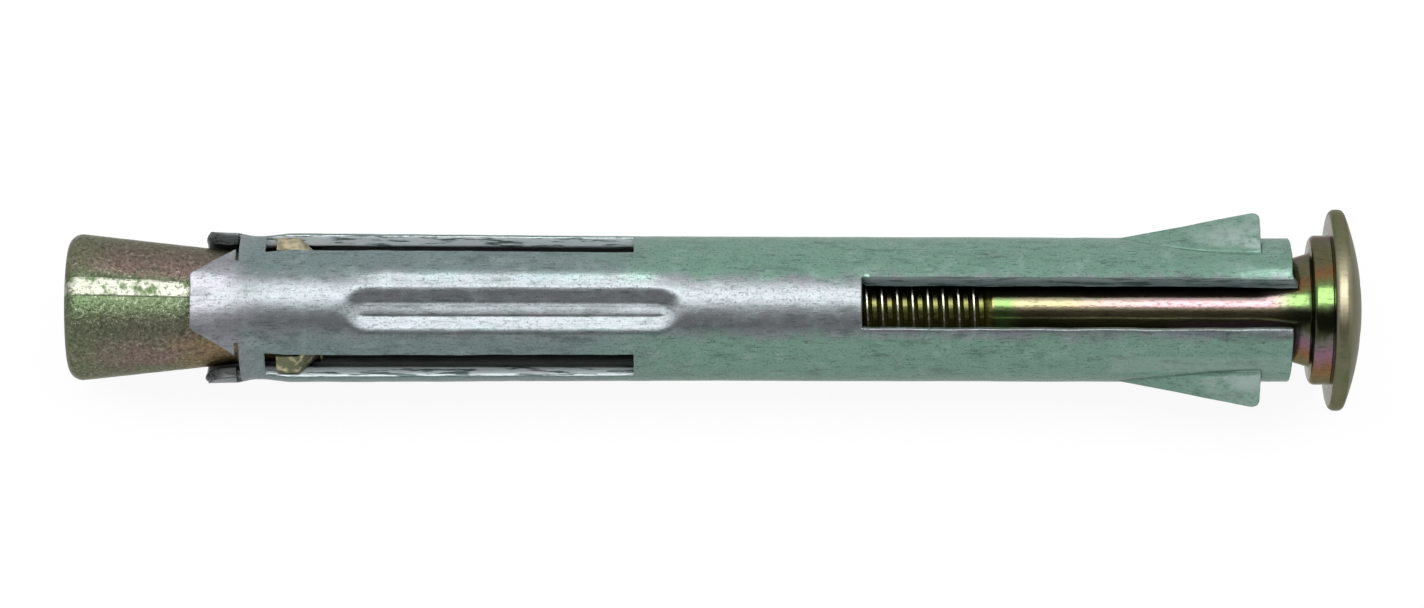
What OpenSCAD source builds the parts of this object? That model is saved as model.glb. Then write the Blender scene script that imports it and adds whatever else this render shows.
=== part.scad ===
// Metal frame anchor: a rolled sheet sleeve, a domed screw through it, and the cone nut that the
// screw draws into the sleeve's three legs.
// The axis lies along X. The origin is on the axis, in the plane where the head bears, and the
// head's dome points to +X. The long slot of the sleeve looks up.

/* [Sleeve] */
// Length of the sleeve, tongues included
sleeve_len = 72; // [66:0.5:80]
// Outer diameter of the sleeve
sleeve_d = 9.5; // [9.4:0.05:9.6]
// Thickness of the sheet that it is rolled from
sheet_t = 0.78; // [0.7:0.02:0.82]
// Gap between the sleeve's end and the plane where the head bears
head_gap = 2.57; // [2:0.01:3]
// Gap left between the two rolled edges
seam_w = 0.35; // [0.2:0.05:0.6]
// Turn of the punched slots from the pressed bead, in degrees
punch_turn = 5.5; // [0:0.5:8]

/* [Long slot] */
// Length of the slot that opens at the head's end
slot_len = 28.2; // [20:0.1:28.5]
// Width of the slot at the outside of the sheet
slot_outer_w = 3.4; // [2.8:0.1:3.8]
// Width of the slot at the inside of the sheet
slot_inner_w = 2.5; // [2:0.1:2.7]

/* [Legs] */
// Distance from the head's end of the sleeve to the roots of the legs
leg_root = 43.1; // [42:0.1:46]
// Length of the legs
leg_len = 24.1; // [20:0.1:24.5]
// Diameter over the legs where they meet the end band
leg_d = 9.8; // [9.5:0.02:9.86]
// Angle that one slot between two legs takes out of the circle
leg_slot_angle = 28.5; // [28:0.5:32]
// Width of the closed band beyond the legs
band_w = 1.7; // [1.2:0.1:2]
// Diameter over the end band
band_d = 9.44; // [9.4:0.02:9.5]

/* [Tongues] */
// Length of the two rear tongues less than that of the front one
tongue_short = 0.7; // [0:0.1:1.2]
// Diameter over the tips of the tongues
tongue_tip_d = 10.02; // [9.98:0.01:10.03]
// Diameter over the roots of the tongues
tongue_root_d = 9.86; // [9.8:0.02:9.9]
// Half angle that a tongue takes at its tip
tongue_tip_angle = 20.5; // [16:0.5:26]
// Half angle at which a tongue joins the band between its relief nicks
tongue_neck_angle = 34; // [30:1:38]
// Width of the relief nicks at a tongue's root
nick_w = 0.22; // [0.15:0.01:0.3]

/* [Bead] */
// Distance from the head's end of the sleeve to the near end of the bead
bead_root = 40.5; // [38:0.5:42]
// Length of the bead pressed into the front leg
bead_len = 21; // [15:0.5:21]
// Width of the bead at the outside
bead_w = 1.9; // [1.6:0.1:2.2]
// Width of the bead's flat floor
bead_floor_w = 1; // [0.8:0.1:1.2]
// Depth of the bead
bead_depth = 0.42; // [0.3:0.02:0.5]

/* [Fins] */
// Distance from the head's end of the sleeve to the tips of the fins
fin_tip = 2; // [1.5:0.1:3]
// Length of a fin along the sleeve
fin_len = 9.3; // [7:0.1:10]
// Reach of a fin's corner from the axis, sideways
fin_reach = 6.52; // [6:0.02:6.56]
// Height of a fin's corner above the axis
fin_height = 0.9; // [0.4:0.1:1.4]
// Angle from the top at which a fin's fold ends at its tip
fold_tip_angle = 54; // [50:1:58]
// Angle from the top at which a fin's fold starts at its root
fold_root_angle = 81; // [76:1:84]
// Radius of a fin's corner
fin_corner_r = 0.5; // [0.3:0.1:0.7]

/* [Screw] */
// Diameter over the thread's crests
thread_d = 5.96; // [5.9:0.01:5.98]
// Diameter of the plain shank
shank_d = 5.3; // [5.2:0.05:5.4]
// Length of the screw under its head
screw_len = 80; // [72:0.5:81]
// Length under the head that has no thread
plain_len = 22.3; // [18:0.1:30]
// Length of the cone between shank and collar
neck_len = 3.6; // [3:0.1:5]
// Diameter of the neck where it meets the collar
neck_d = 7.5; // [7:0.1:7.6]
// Diameter of the collar under the head
collar_d = 9.84; // [9.6:0.02:9.9]
// Height of the collar
collar_h = 1.29; // [1:0.01:1.4]

/* [Head] */
// Diameter of the head
head_d = 13.26; // [12.8:0.02:13.6]
// Height of the head over its bearing face
head_h = 2.17; // [2.1:0.01:2.3]
// Radius of the dome
dome_r = 18; // [17:0.5:19]
// Radius of the head's outer edges
head_edge_r = 0.4; // [0.3:0.05:0.45]
// Span of the cross recess at the dome
recess_span = 6.6; // [6:0.1:7]
// Depth of the cross recess below the dome's top
recess_depth = 3.2; // [2.8:0.1:3.4]
// Width of one arm of the cross
recess_arm_w = 1.25; // [1.1:0.05:1.4]

/* [Cone nut] */
// Distance from the bearing face to the far end of the nut
nut_end = 82.83; // [82:0.01:83]
// Length of the nut with its guide lugs
nut_len = 16.6; // [16:0.1:16.6]
// Largest diameter of the cone
cone_d = 9.62; // [9.4:0.02:9.7]
// Half angle of the cone
cone_angle = 6.3; // [6.1:0.1:6.4]
// Radius of the cone's far edge
cone_edge_r = 0.92; // [0.6:0.02:1]
// Diameter of the nut's bore, over the screw's crests
nut_bore_d = 6.08; // [6.06:0.01:6.12]
// Diameter of the nut's inner body
nut_body_d = 7.1; // [6.8:0.1:7.2]
// Diameter over the guide lugs
lug_d = 9.4; // [9:0.1:9.6]
// Angle that one guide lug takes
lug_angle = 23.5; // [20:0.5:24]
// Distance from the nut's far end to the lugs
lug_start = 13.8; // [13.6:0.1:14]
// Length of a lug at its full height
lug_flat = 1.4; // [1:0.1:1.6]

/* [Hidden] */
$fn = 96;
leg_count = 3;
leg_pitch = 360 / leg_count;
eps = 0.01;
open_by = 2;

sleeve_r = sleeve_d / 2;
bore_r = sleeve_r - sheet_t;
sleeve_x = -head_gap;
band_r = band_d / 2;
band_x = sleeve_x - leg_root - leg_len;
tongue_x = band_x - band_w;
tongue_len = sleeve_len - leg_root - leg_len - band_w;
fin_tip_x = sleeve_x - fin_tip;
fin_root_x = fin_tip_x - fin_len;
head_taper = 0.03;

thread_r = thread_d / 2;
shank_r = shank_d / 2;
thread_chamfer = 0.5;

head_r = head_d / 2;
dome_z = head_h - dome_r;
edge_r_place = head_r - head_edge_r;
edge_z_place = dome_z + sqrt(pow(dome_r - head_edge_r, 2) - pow(edge_r_place, 2));
edge_r_top = edge_r_place * dome_r / (dome_r - head_edge_r);

cone_r = cone_d / 2;
cone_slope = tan(cone_angle);
nut_body_start = 12.3;
nut_mouth_w = 0.45;

// Turns the pieces' own axis, Z, to X, and their Y to the part's Z.
module along_x() {
    rotate([90, 0, 90])
        children();
}

// Places what is built towards X at an angle from the top, turning towards the part's +Y.
module from_top(angle) {
    rotate([0, 0, 90 - angle])
        children();
}

// A wedge of the circle, its middle towards X.
module wedge(half_angle, x1, x2) {
    reach = 12;
    translate([0, 0, x1])
        linear_extrude(x2 - x1)
            polygon([[0, 0], [reach, -reach * tan(half_angle)], [reach, reach * tan(half_angle)]]);
}

/* sleeve */

// The slot that opens at the head's end, narrower inside than outside.
module long_slot() {
    outer = slot_outer_w / 2;
    inner = slot_inner_w / 2;
    slope = (outer - inner) / sheet_t;
    low = bore_r - 1;
    high = sleeve_r + 1;
    translate([0, 0, sleeve_x - slot_len])
        linear_extrude(slot_len + open_by)
            polygon([
                [low, -inner + slope],
                [high, -outer - slope],
                [high, outer + slope],
                [low, inner - slope]
            ]);
}

// The slots between the legs, with the seam running through the last one.
module leg_slots() {
    for (k = [0:leg_count - 1])
        from_top(punch_turn + leg_pitch * (k + 0.5))
            wedge(leg_slot_angle / 2, band_x, band_x + leg_len);
}

module seam() {
    from_top(punch_turn + leg_pitch * 1.5)
        translate([0, -seam_w / 2, tongue_x - tongue_len - open_by])
            cube([sleeve_d, seam_w, sleeve_len + 2 * open_by]);
}

// A tapered form with a flat floor at floor_r, its ends round. It widens by slope away from the axis.
module bead_form(floor_r, floor_half, slope, rise) {
    top_half = floor_half + slope * rise;
    length = bead_len - bead_w;
    start = sleeve_x - bead_root - bead_len + bead_w / 2;
    translate([floor_r, 0, start]) {
        linear_extrude(length)
            polygon([
                [0, -floor_half],
                [rise, -top_half],
                [rise, top_half],
                [0, floor_half]
            ]);
        for (z = [0, length])
            translate([0, 0, z])
                rotate([0, 90, 0])
                    cylinder(h = rise, r1 = floor_half, r2 = top_half);
    }
}

// The bead's slope, floor half width and depth, as one place for the groove and the ridge inside.
bead_slope = (bead_w - bead_floor_w) / 2 / bead_depth;
bead_wall = 0.3;

module bead_groove() {
    from_top(0)
        bead_form(sleeve_r - bead_depth, bead_floor_w / 2, bead_slope, bead_depth + 0.6);
}

module bead_ridge() {
    from_top(0)
        bead_form(bore_r - bead_depth, bead_floor_w / 2 + bead_wall, bead_slope, bead_depth + sheet_t / 2);
}

// What is cut out between two neighbouring tongues, its middle towards X. It starts within the nicks.
module tongue_gap() {
    start = nick_w * 0.3;
    tip_y = sleeve_r * sin(leg_pitch / 2 - tongue_tip_angle);
    root_y = sleeve_r * sin(leg_slot_angle / 2);
    widen = (tip_y - root_y) / tongue_len;
    far_y = tip_y + widen * open_by;
    translate([0, 0, tongue_x])
        rotate([0, 90, 0])
            linear_extrude(sleeve_d)
                polygon([
                    [start, -root_y],
                    [tongue_len + open_by, -far_y],
                    [tongue_len + open_by, far_y],
                    [start, root_y]
                ]);
}

// The relief nicks at both ends of a tongue's foot.
module nicks() {
    half = (leg_pitch / 2 - tongue_neck_angle) / 2;
    for (side = [-1, 1])
        rotate([0, 0, side * (tongue_neck_angle + half)])
            wedge(half, tongue_x - nick_w, tongue_x);
}

module tongue_cuts() {
    tip_x = tongue_x - tongue_len;
    for (k = [0:leg_count - 1]) {
        from_top(punch_turn + leg_pitch * (k + 0.5))
            tongue_gap();
        from_top(punch_turn + leg_pitch * k)
            nicks();
    }
    for (k = [1:leg_count - 1])
        from_top(punch_turn + leg_pitch * k)
            wedge(leg_pitch / 2 - leg_slot_angle, tip_x - open_by, tip_x + tongue_short);
}

// The wall's section on one side of the axis: head end, plain body, legs, band and tongues.
// Its knees and steps stand a little off the ends of the slots, windows and nicks.
module wall_section() {
    head_knee = fin_root_x - 4.5;
    leg_knee = band_x + leg_len + 0.5;
    band_step = band_x + 0.15;
    foot_step = tongue_x - nick_w / 2;
    tip_x = tongue_x - tongue_len;
    leg_r = leg_d / 2;
    foot_r = tongue_root_d / 2;
    tip_r = tongue_tip_d / 2;
    polygon([
        [sleeve_r - head_taper, sleeve_x],
        [sleeve_r, head_knee],
        [sleeve_r, leg_knee],
        [leg_r, band_step],
        [band_r, band_step],
        [band_r, foot_step],
        [foot_r, foot_step],
        [tip_r, tip_x],
        [tip_r - sheet_t, tip_x],
        [foot_r - sheet_t, foot_step],
        [band_r - sheet_t, foot_step],
        [band_r - sheet_t, band_step],
        [leg_r - sheet_t, band_step],
        [bore_r, leg_knee],
        [bore_r, head_knee],
        [bore_r - head_taper, sleeve_x]
    ]);
}

// The corners of a fin in the pieces' own frame: fold at the root, fold at the tip, free corner.
function on_sleeve(angle, x) = [sleeve_r * sin(angle), sleeve_r * cos(angle), x];
fin_a = on_sleeve(fold_root_angle, fin_root_x);
fin_b = on_sleeve(fold_tip_angle, fin_tip_x);
fin_c = [fin_reach, fin_height, fin_tip_x];
function unit(v) = v / norm(v);
fin_along = unit(fin_a - fin_b);
fin_inward = unit(cross(fin_a - fin_b, fin_c - fin_b));
fin_across = cross(fin_inward, fin_along);
fin_edge_len = norm(fin_a - fin_b);
fin_c_flat = [(fin_c - fin_b) * fin_along, (fin_c - fin_b) * fin_across];

// The fin's outline in its own plane, with the free corner rounded.
module fin_outline() {
    a = [fin_edge_len, 0];
    c = fin_c_flat;
    to_a = unit(a - c);
    to_b = unit(-c);
    half = acos(to_a * to_b) / 2;
    back = fin_corner_r / tan(half);
    centre = c + unit(to_a + to_b) * fin_corner_r / sin(half);
    inward = 0.35;
    polygon([[0, -inward], [fin_edge_len, -inward], a, c + to_a * back, c + to_b * back, [0, 0]]);
    translate(centre)
        circle(r = fin_corner_r);
}

module fin() {
    multmatrix([
        [fin_along.x, fin_across.x, fin_inward.x, fin_b.x],
        [fin_along.y, fin_across.y, fin_inward.y, fin_b.y],
        [fin_along.z, fin_across.z, fin_inward.z, fin_b.z],
        [0, 0, 0, 1]
    ])
        linear_extrude(sheet_t)
            fin_outline();
}

// The window that the fin leaves in the wall, from its fold round to the back.
module fin_window() {
    fold_w = norm([fin_c.x - fin_b.x, fin_c.y - fin_b.y]);
    open_angle = fold_w / (sleeve_r - sheet_t / 2) * 180 / PI;
    middle = fold_tip_angle + open_angle / 2;
    half_w = sleeve_r * sin(open_angle / 2);
    root_y = sleeve_r * sin(middle - fold_root_angle);
    from_top(middle)
        translate([0, 0, fin_tip_x])
            rotate([0, 90, 0])
                linear_extrude(sleeve_d)
                    polygon([[0, -half_w], [0, half_w], [fin_len, root_y]]);
}

module both_sides() {
    children();
    mirror([1, 0, 0])
        children();
}

// Both fins, kept clear of the bore.
module fins() {
    trim = 0.1;
    difference() {
        both_sides()
            fin();
        translate([0, 0, fin_root_x - 1])
            cylinder(h = fin_len + 2, r = bore_r + trim);
    }
}

module sleeve() {
    color("#7d968c")
        along_x()
            difference() {
                union() {
                    difference() {
                        rotate_extrude()
                            wall_section();
                        both_sides()
                            fin_window();
                        leg_slots();
                        tongue_cuts();
                    }
                    bead_ridge();
                    fins();
                }
                bead_groove();
                from_top(punch_turn)
                    long_slot();
                seam();
            }
}

/* screw */

// The head's section on one side of the axis.
module head_section() {
    intersection() {
        translate([0, dome_z])
            circle(r = dome_r, $fn = 360);
        square([edge_r_top, head_h + 1]);
    }
    translate([0, head_edge_r])
        square([head_r, edge_z_place - head_edge_r]);
    square([edge_r_place, edge_z_place]);
    for (z = [head_edge_r, edge_z_place])
        translate([edge_r_place, z])
            circle(r = head_edge_r);
}

// The collar, neck, shank and thread, below the head.
module stem_section() {
    edge = 0.25;
    tip = -screw_len;
    polygon([
        [0, eps],
        [collar_d / 2, eps],
        [collar_d / 2, -collar_h + edge],
        [collar_d / 2 - edge, -collar_h],
        [neck_d / 2, -collar_h],
        [shank_r, -collar_h - neck_len],
        [shank_r, -plain_len],
        [thread_r, -plain_len - thread_chamfer],
        [thread_r, tip + thread_chamfer * 2],
        [thread_r - thread_chamfer * 1.2, tip],
        [0, tip]
    ]);
}

// The cross recess seen from above, with the corners between its arms cut off.
module cross_outline() {
    for (turn = [45, 135])
        rotate(turn)
            square([head_d, recess_arm_w], center = true);
    square(recess_arm_w * 1.6, center = true);
}

// The arms narrow towards the foot of the recess.
module cross_recess() {
    foot_share = 0.5;
    spread = recess_span / 2 * (1 - foot_share) / recess_depth;
    translate([0, 0, head_h - recess_depth])
        intersection() {
            linear_extrude(recess_depth + 1)
                cross_outline();
            translate([0, 0, -1])
                cylinder(
                    h = recess_depth + 3,
                    r1 = recess_span / 2 * foot_share - spread,
                    r2 = recess_span / 2 + spread * 2
                );
        }
}

module screw() {
    color("#a89a6a")
        along_x()
            difference() {
                union() {
                    rotate_extrude()
                        head_section();
                    rotate_extrude()
                        stem_section();
                }
                cross_recess();
            }
}

/* cone nut */

// The cone and the body behind it, on one side of the axis, from the far end up.
module nut_section() {
    edge_x = cone_edge_r;
    body_r = nut_body_d / 2;
    polygon([
        [0, 0],
        [cone_r - cone_edge_r, 0],
        [cone_r - cone_edge_r, edge_x],
        [cone_r, edge_x],
        [cone_r - cone_slope * (nut_body_start - edge_x), nut_body_start],
        [body_r, nut_body_start],
        [body_r, nut_len],
        [0, nut_len]
    ]);
    translate([cone_r - cone_edge_r, edge_x])
        circle(r = cone_edge_r);
}

module lug_section() {
    root_r = nut_body_d / 2 - 0.4;
    top_r = lug_d / 2;
    bevel = 0.15;
    fall = 1.3;
    polygon([
        [root_r, lug_start],
        [top_r - bevel, lug_start],
        [top_r, lug_start + bevel],
        [top_r, lug_start + lug_flat],
        [root_r, lug_start + lug_flat + fall]
    ]);
}

module cone_nut() {
    color("#8d8a5e")
        along_x()
            translate([0, 0, -nut_end])
                difference() {
                    union() {
                        rotate_extrude()
                            nut_section();
                        for (k = [0:leg_count - 1])
                            from_top(punch_turn + leg_pitch * (k + 0.5))
                                rotate([0, 0, -lug_angle / 2])
                                    rotate_extrude(angle = lug_angle)
                                        lug_section();
                    }
                    translate([0, 0, -open_by])
                        cylinder(h = nut_len + 2 * open_by, r = nut_bore_d / 2);
                    for (end = [0, 1])
                        translate([0, 0, end * nut_len])
                            mirror([0, 0, end])
                                translate([0, 0, -eps])
                                    cylinder(
                                        h = nut_mouth_w,
                                        r1 = nut_bore_d / 2 + nut_mouth_w,
                                        r2 = nut_bore_d / 2
                                    );
                }
}

sleeve();
screw();
cone_nut();
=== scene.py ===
from bisect import bisect_right
from math import asin, ceil, cos, degrees, exp, hypot, pi, radians, sin, sqrt, tan

import bmesh
import bpy
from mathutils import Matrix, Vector, noise


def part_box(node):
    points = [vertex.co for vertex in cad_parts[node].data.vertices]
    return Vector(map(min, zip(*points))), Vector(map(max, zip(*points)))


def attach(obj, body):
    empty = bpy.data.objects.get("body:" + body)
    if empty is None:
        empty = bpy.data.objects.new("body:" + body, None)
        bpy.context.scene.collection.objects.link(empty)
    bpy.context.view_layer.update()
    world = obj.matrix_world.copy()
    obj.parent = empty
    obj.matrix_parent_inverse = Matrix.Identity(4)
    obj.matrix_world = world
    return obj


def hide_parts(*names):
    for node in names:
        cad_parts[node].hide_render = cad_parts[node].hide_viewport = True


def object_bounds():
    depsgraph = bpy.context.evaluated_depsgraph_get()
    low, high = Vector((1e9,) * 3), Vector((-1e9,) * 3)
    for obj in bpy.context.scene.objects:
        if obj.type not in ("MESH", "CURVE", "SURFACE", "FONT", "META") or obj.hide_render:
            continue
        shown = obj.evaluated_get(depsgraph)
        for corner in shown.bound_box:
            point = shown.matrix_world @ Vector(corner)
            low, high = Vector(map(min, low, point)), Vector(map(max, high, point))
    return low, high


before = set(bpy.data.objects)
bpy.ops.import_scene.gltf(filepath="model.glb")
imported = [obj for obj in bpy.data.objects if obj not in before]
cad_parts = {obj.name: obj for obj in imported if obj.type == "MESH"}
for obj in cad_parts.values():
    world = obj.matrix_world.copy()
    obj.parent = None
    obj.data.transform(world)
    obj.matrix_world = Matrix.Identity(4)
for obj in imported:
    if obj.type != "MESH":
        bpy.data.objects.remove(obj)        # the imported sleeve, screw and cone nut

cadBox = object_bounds()
print("frame loaded:", ", ".join(sorted(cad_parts)))

# Everything below is worked out in millimetres along the axis, and put into metres at the end.
mm = 0.001


def nodeSpan(node):
    low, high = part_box(node)
    return low.x / mm, high.x / mm


def clamp(value, low=0.0, high=1.0):
    return max(low, min(high, value))


def ease(value):
    t = clamp(value)
    return t * t * (3 - 2 * t)


def lerp(a, b, t):
    return a + (b - a) * t


def along(points, x):
    # reads a line of (x, value) points, x rising
    xs = [p[0] for p in points]
    i = clamp(bisect_right(xs, x) - 1, 0, len(points) - 2)
    (x0, v0), (x1, v1) = points[i], points[i + 1]
    return lerp(v0, v1, clamp((x - x0) / (x1 - x0)))


def wobble(x, y, z, scale):
    return noise.noise(Vector((x, y, z)) / scale)


def steps(marks, step):
    # values through all the marks, no further apart than step(value)
    out = [marks[0]]
    for a, b in zip(marks, marks[1:]):
        count = max(1, ceil(abs(b - a) / step((a + b) / 2) - 1e-6))
        out += [lerp(a, b, k / count) for k in range(1, count + 1)]
    return out


def sharpen(bm, angle):
    for edge in bm.edges:
        edge.smooth = not (len(edge.link_faces) == 2 and edge.calc_face_angle(0) > radians(angle))
    for face in bm.faces:
        face.smooth = True


def openEdges(bm):
    return len([e for e in bm.edges if len(e.link_faces) != 2])


def meshPiece(name, bm, materials):
    mesh = bpy.data.meshes.new(name)
    bm.to_mesh(mesh)
    bm.free()
    for material in materials:
        mesh.materials.append(material)
    piece = bpy.data.objects.new(name, mesh)
    bpy.context.scene.collection.objects.link(piece)
    return piece


class Nodes:
    # a tree of shader nodes. A value is a number, a colour or what another node gives.
    def __init__(self, tree):
        self.tree = tree
        tree.nodes.clear()

    def plug(self, value, socket):
        if isinstance(value, bpy.types.NodeSocket):
            self.tree.links.new(value, socket)
        else:
            socket.default_value = value

    def add(self, kind, inputs=None, **settings):
        made = self.tree.nodes.new("ShaderNode" + kind)
        for key, value in settings.items():
            setattr(made, key, value)
        for key, value in (inputs or {}).items():
            self.plug(value, made.inputs[key])
        return made

    def maths(self, operation, a, b=0.0, c=0.0):
        made = self.add("Math", operation=operation)
        for socket, value in zip(made.inputs, (a, b, c)):
            self.plug(value, socket)
        return made.outputs[0]

    def times(self, first, *others):
        for other in others:
            first = self.maths("MULTIPLY", first, other)
        return first

    def fade(self, value, low, high):
        # 0 at low, 1 at high
        made = self.add("MapRange", {"Value": value, "From Min": low, "From Max": high}, clamp=True)
        made.interpolation_type = "SMOOTHSTEP"
        return made.outputs["Result"]

    def within(self, value, low, lowFull, highFull, high):
        # 1 between the inner two places, 0 outside the outer two
        return self.times(self.fade(value, low, lowFull), self.fade(value, high, highFull))

    def facing(self, turn, *places):
        # the same for a turn about the axis, the places in degrees from the top
        return self.within(turn, *[radians(p) for p in places])

    def blend(self, share, a, b):
        made = self.add("Mix", data_type="RGBA")
        self.plug(share, made.inputs[0])
        for socket, value in ((made.inputs[6], a), (made.inputs[7], b)):
            self.plug((*value, 1) if isinstance(value, tuple) else value, socket)
        return made.outputs[2]


class Finish(Nodes):
    # a piece's material, worked out in the piece's own coordinates, one unit to a millimetre
    def __init__(self, name, look):
        self.look, self.tint, self.material = look, None, newMaterial(name)
        super().__init__(self.material.node_tree)
        self.place = self.stretched((1, 1, 1))
        self.x, y, self.z = self.add("SeparateXYZ", {"Vector": self.place}).outputs
        self.turn = self.maths("ARCTAN2", y, self.z)      # from the top
        squares = [self.maths("POWER", value, 2.0) for value in (y, self.z)]
        self.out = self.maths("SQRT", self.maths("ADD", *squares))

    def stretched(self, stretch):
        coordinates = self.add("TexCoord").outputs["Object"]
        return self.add("Mapping", {"Vector": coordinates, "Scale": [s / mm for s in stretch]}).outputs[0]

    def grain(self, scale, detail=3.0, rough=0.55, distortion=0.0, stretch=None):
        made = self.add("TexNoise", {"Scale": scale, "Detail": detail, "Roughness": rough})
        self.plug(distortion, made.inputs["Distortion"])
        self.plug(self.stretched(stretch) if stretch else self.place, made.inputs["Vector"])
        return made.outputs["Fac"]

    def filmPlace(self, stir, spread, middle):
        # 0 to 1 round the piece, stirred so that the plating's colours wander
        stirred = self.maths("MULTIPLY_ADD", stir, spread, middle)
        return self.maths("MULTIPLY_ADD", self.turn, 0.5 / pi, stirred)

    def ramp(self, value, stops):
        # each stop is a place and the name of a colour
        made = self.add("ValToRGB", {"Fac": value})
        elements = made.color_ramp.elements
        while len(elements) < len(stops):
            elements.new(0.5)
        for element, (place, colour) in zip(elements, stops):
            element.position = place
            element.color = (*self.look[colour], 1)
        return made.outputs["Color"]

    def lay(self, colour, share, strength=1.0):
        # lays one more colour over part of the piece
        colour = self.look[colour] if isinstance(colour, str) else colour
        share = share if strength == 1.0 else self.times(share, strength)
        self.tint = self.blend(share, self.tint, colour)

    def done(self, rough, height):
        # the height is in millimetres
        look = self.look
        bump = self.add("Bump", {"Height": height, "Strength": 1.0, "Distance": mm}).outputs[0]
        shader = self.add("BsdfPrincipled", {
            "Base Color": self.tint,
            "Roughness": rough,
            "Normal": bump,
            "Metallic": look["metallic"],
            "Specular IOR Level": look["gloss"],
            "Specular Tint": (*look["edgeTint"], 1),
            "Coat Weight": look["coat"],
            "Coat Roughness": look["coatRough"],
            "Coat IOR": look["coatIor"],
            "Coat Normal": bump,
        })
        self.add("OutputMaterial", {"Surface": shader.outputs[0]})
        return self.material


def newMaterial(name):
    material = bpy.data.materials.new(name)
    material.use_nodes = True
    return material


def linear(r, g, b):
    # a colour as a picture editor shows it, 0 to 255
    return tuple((c / 255 / 12.92) if c < 11 else ((c / 255 + 0.055) / 1.055) ** 2.4 for c in (r, g, b))


def makeSheetZinc(name, cutFace=False):
    look = {
        "bodyTint": linear(104, 137, 122),      # the plain body is greener
        "topTint": linear(116, 120, 124),       # painted reflection tint: greyer along the top, where the highlight and the dark reflected band fall
        "legTint": linear(106, 121, 121),       # the worked end is greyer
        "tipTint": linear(130, 130, 136),       # the tongues are rubbed bright
        "paleTint": linear(150, 166, 162),
        "darkTint": linear(44, 60, 54),
        "cutTint": linear(172, 178, 180),       # sheared edges of the legs, then of the long slot
        "slotTint": linear(104, 116, 116),
        "paintedShade": linear(22, 27, 24),             # painted shade for the inside and for the shaded cut faces
        "metallic": 0.3 if cutFace else 0.66,
        "gloss": 0.6,
        "edgeTint": (0.5, 0.55, 0.53),
        "coat": 0.12 if cutFace else 0.17,
        "coatRough": 0.26,
        "coatIor": 1.6,
        "topSide": (-30, -14, 20, 33),          # degrees from the top
        "strip": (-62, -59, -43, -39),
        "legsFrom": (-36.0, -48.0),             # millimetres along the axis, none and all
        "tonguesFrom": (-65.0, -69.5),
        "dullFrom": (-69.0, -72.0),
        "finsFrom": (-10.5, -5.5),
        "shadeR": (4.32, 4.27),                  # millimetres from the axis, none and all
        "cutShadeR": (4.24, 4.08),
        "finR": (4.76, 4.92),
    }
    f = Finish(name, look)
    x, turn, out = f.x, f.turn, f.out
    loose = f.maths("ADD", x, f.times(f.grain(0.35), 8.0))
    ragged = f.maths("SUBTRACT", turn, 0.25)
    ragged = f.maths("MULTIPLY_ADD", f.grain(0.5, 4.0, 0.6), 0.5, ragged)

    f.tint = f.blend(f.fade(loose, *look["legsFrom"]), look["bodyTint"], look["legTint"])
    # painted reflection tint along the top of the sleeve
    f.lay("topTint", f.facing(ragged, *look["topSide"]))
    f.lay("tipTint", f.fade(loose, *look["tonguesFrom"]))
    clouds = f.grain(0.9, 4.0, 0.6)
    f.lay("paleTint", f.fade(clouds, 0.48, 0.75), 0.3)
    # rolling and handling marks run along the sleeve
    stains = f.grain(1.3, 5.0, 0.7, stretch=(0.35, 1, 1))
    f.lay("darkTint", f.fade(stains, 0.5, 0.72), 0.5)
    specks = f.grain(6.5, 3.0, 0.65)
    f.lay("darkTint", f.fade(specks, 0.52, 0.7), 0.5)
    streaks = f.grain(7.0, 5.0, 0.7, stretch=(0.16, 1, 1))
    f.lay("darkTint", f.fade(streaks, 0.52, 0.72), 0.7)
    scuffs = f.grain(5.0, 4.0, 0.65, 0.6, stretch=(0.3, 1, 1))
    f.lay("paleTint", f.fade(scuffs, 0.6, 0.74), 0.4)

    # painted highlight: the fins are lighter towards their tips and near their folds, least at their corners
    onFins = f.times(f.fade(out, *look["finR"]), f.fade(f.maths("ABSOLUTE", turn), radians(85), radians(80)))
    onFins = f.times(onFins, f.maths("MULTIPLY_ADD", f.fade(out, 5.9, 5.1), 0.6, 0.4))
    paintedSheen = f.times(f.fade(x, *look["finsFrom"]), f.fade(x, finTipX + 0.1, finTipX + 0.02))
    paintedSheen = f.times(paintedSheen, onFins, f.fade(clouds, 0.34, 0.56))
    f.lay("paleTint", paintedSheen, 0.85)
    # and the press has rubbed the strip beside the low one
    strip = f.times(f.facing(turn, *look["strip"]), f.fade(x, finRootX - 0.9, finRootX - 0.4))
    f.lay("paleTint", strip, 0.22)

    if cutFace:
        # sheared metal is bright, with dark drag lines along it
        drag = f.grain(5.0, 4.0, 0.6, stretch=(0.09, 1, 1))
        clean = f.blend(f.fade(x, slotEndX - 1, slotEndX), look["cutTint"], look["slotTint"])
        f.lay(f.blend(f.fade(drag, 0.5, 0.6), clean, look["darkTint"]), 0.75)
        # painted shade: the cut faces of the two back tongues and the inner part of the legs' cut faces are
        # darkened
        tongueShade = f.fade(x, bandEndX + 0.27, bandEndX - 0.23)
        tongueShade = f.times(tongueShade, f.fade(f.z, 2.6, 1.8))
        inner = f.fade(x, legRootX + 0.67, legRootX - 0.33)
        inner = f.times(inner, f.fade(out, *look["cutShadeR"]))
        f.lay("paintedShade", f.maths("MAXIMUM", tongueShade, inner), 0.85)
    else:
        # painted shade over the inside of the sleeve
        f.lay("paintedShade", f.fade(out, *look["shadeR"]), 0.92)

    rough = f.maths("MULTIPLY_ADD", clouds, 0.2, 0.22)
    rough = f.maths("ADD", rough, f.times(f.fade(specks, 0.5, 0.75), 0.2))
    # the tongues are a little duller
    rough = f.maths("ADD", rough, f.times(f.fade(x, *look["dullFrom"]), 0.06))

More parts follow.
